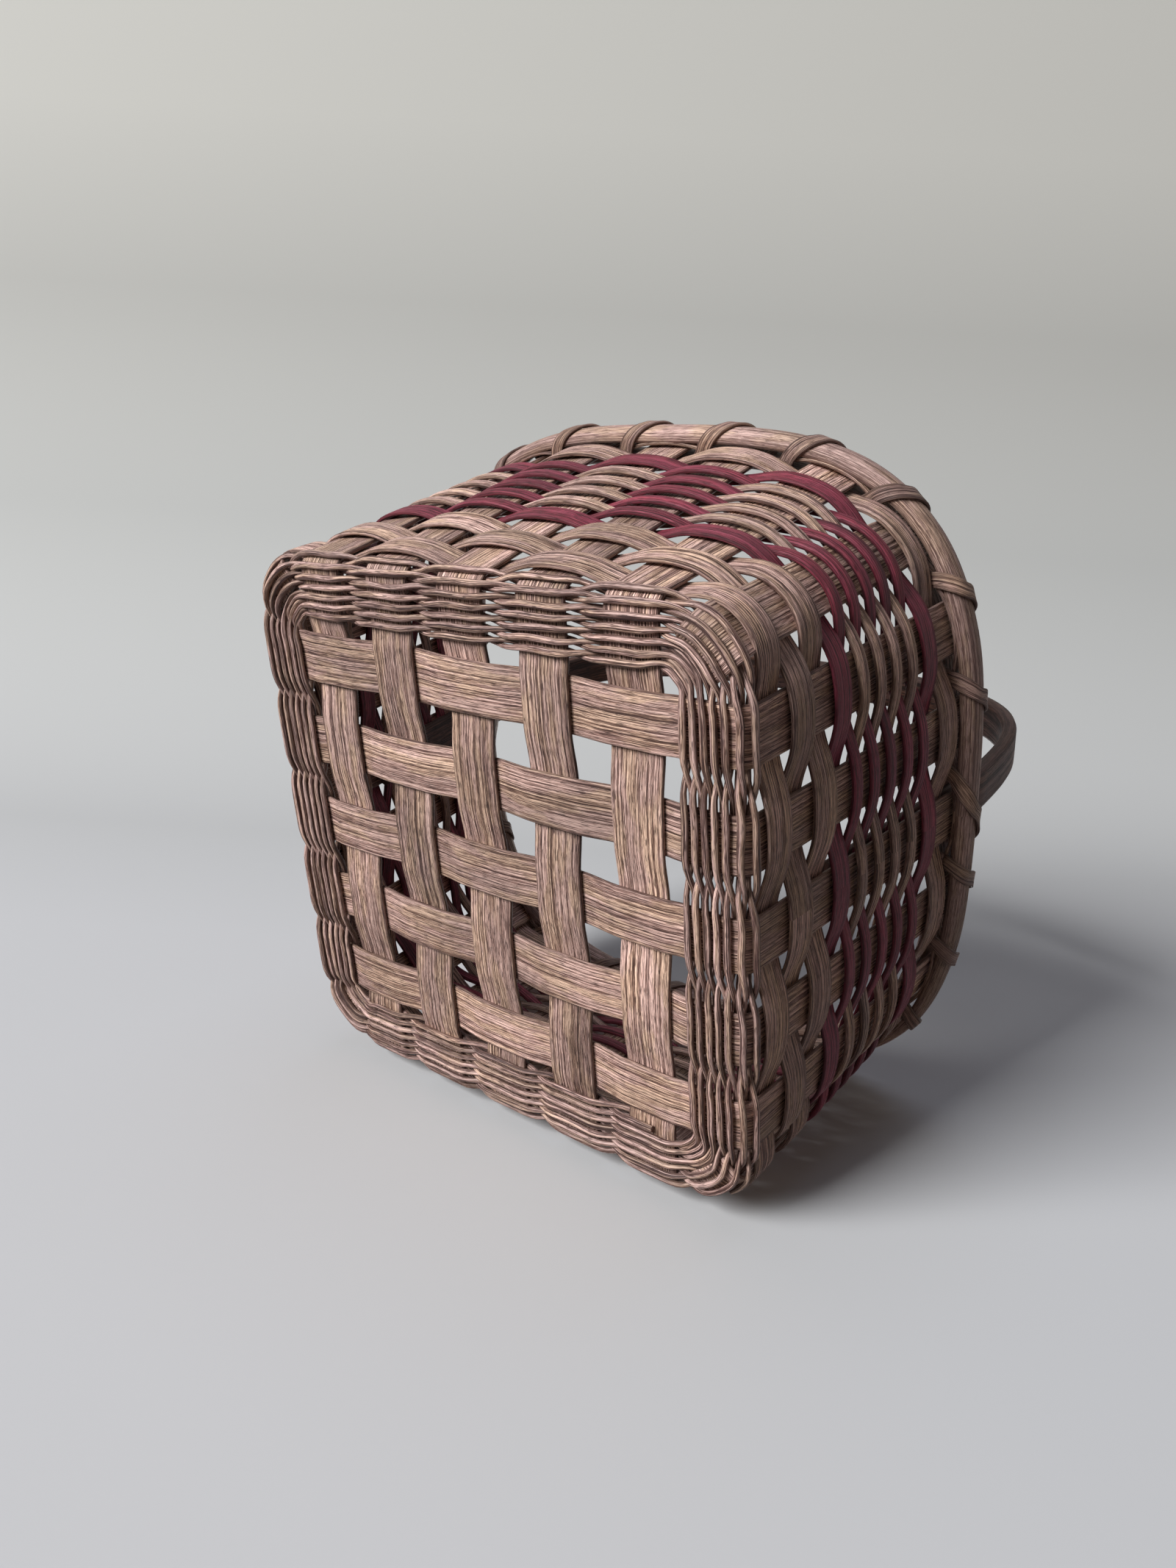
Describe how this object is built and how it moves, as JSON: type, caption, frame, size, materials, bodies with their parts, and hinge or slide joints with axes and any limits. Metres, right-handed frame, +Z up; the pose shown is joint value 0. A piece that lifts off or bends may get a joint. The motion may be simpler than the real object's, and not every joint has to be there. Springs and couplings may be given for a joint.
{
  "type": "market basket",
  "caption": "Square-bottomed woven reed market basket with an openwork base, banded walls, a lashed half-round rim and a fixed bow handle.",
  "frame": {"origin": "on the surface that the basket stands on, under the middle of its box", "axes": "+Z up towards the mouth and handle, X along the handle's span from side to side, Y across the handle"},
  "size_m": [0.2168, 0.2306, 0.2138],
  "materials": {
    "stake_reed": "stained flat reed, brown, low sheen",
    "twine_reed": "stained round reed, brown, low sheen",
    "weaver_brown": "stained flat reed, brown, low sheen",
    "weaver_red": "flat reed dyed dark red, low sheen",
    "rim_reed": "stained half-round reed, lighter brown",
    "lashing_reed": "stained flat reed, lighter brown",
    "handle_wood": "stained bentwood, dark brown, satin"
  },
  "bodies": {
    "root": {"stake_x_1": "stake_reed", "stake_x_2": "stake_reed", "stake_x_3": "stake_reed", "stake_x_4": "stake_reed", "stake_x_5": "stake_reed", "stake_y_1": "stake_reed", "stake_y_2": "stake_reed", "stake_y_3": "stake_reed", "stake_y_4": "stake_reed", "stake_y_5": "stake_reed", "corner_stake_1": "stake_reed", "corner_stake_2": "stake_reed", "corner_stake_3": "stake_reed", "corner_stake_4": "stake_reed", "twine_strand_a": "twine_reed", "twine_strand_b": "twine_reed", "side_row_01_brown": "weaver_brown", "side_row_02_brown": "weaver_brown", "side_row_03_brown": "weaver_brown", "side_row_04_red": "weaver_red", "side_row_05_red": "weaver_red", "side_row_06_brown": "weaver_brown", "side_row_07_red": "weaver_red", "side_row_08_brown": "weaver_brown", "side_row_09_red": "weaver_red", "side_row_10_brown": "weaver_brown", "side_row_11_red": "weaver_red", "side_row_12_brown": "weaver_brown", "side_row_13_red": "weaver_red", "side_row_14_red": "weaver_red", "side_row_15_brown": "weaver_brown", "rim_row": "weaver_brown", "rim_outer": "rim_reed", "rim_inner": "rim_reed", "rim_lashing": "lashing_reed", "handle": "handle_wood"}
  },
  "joints": []
}
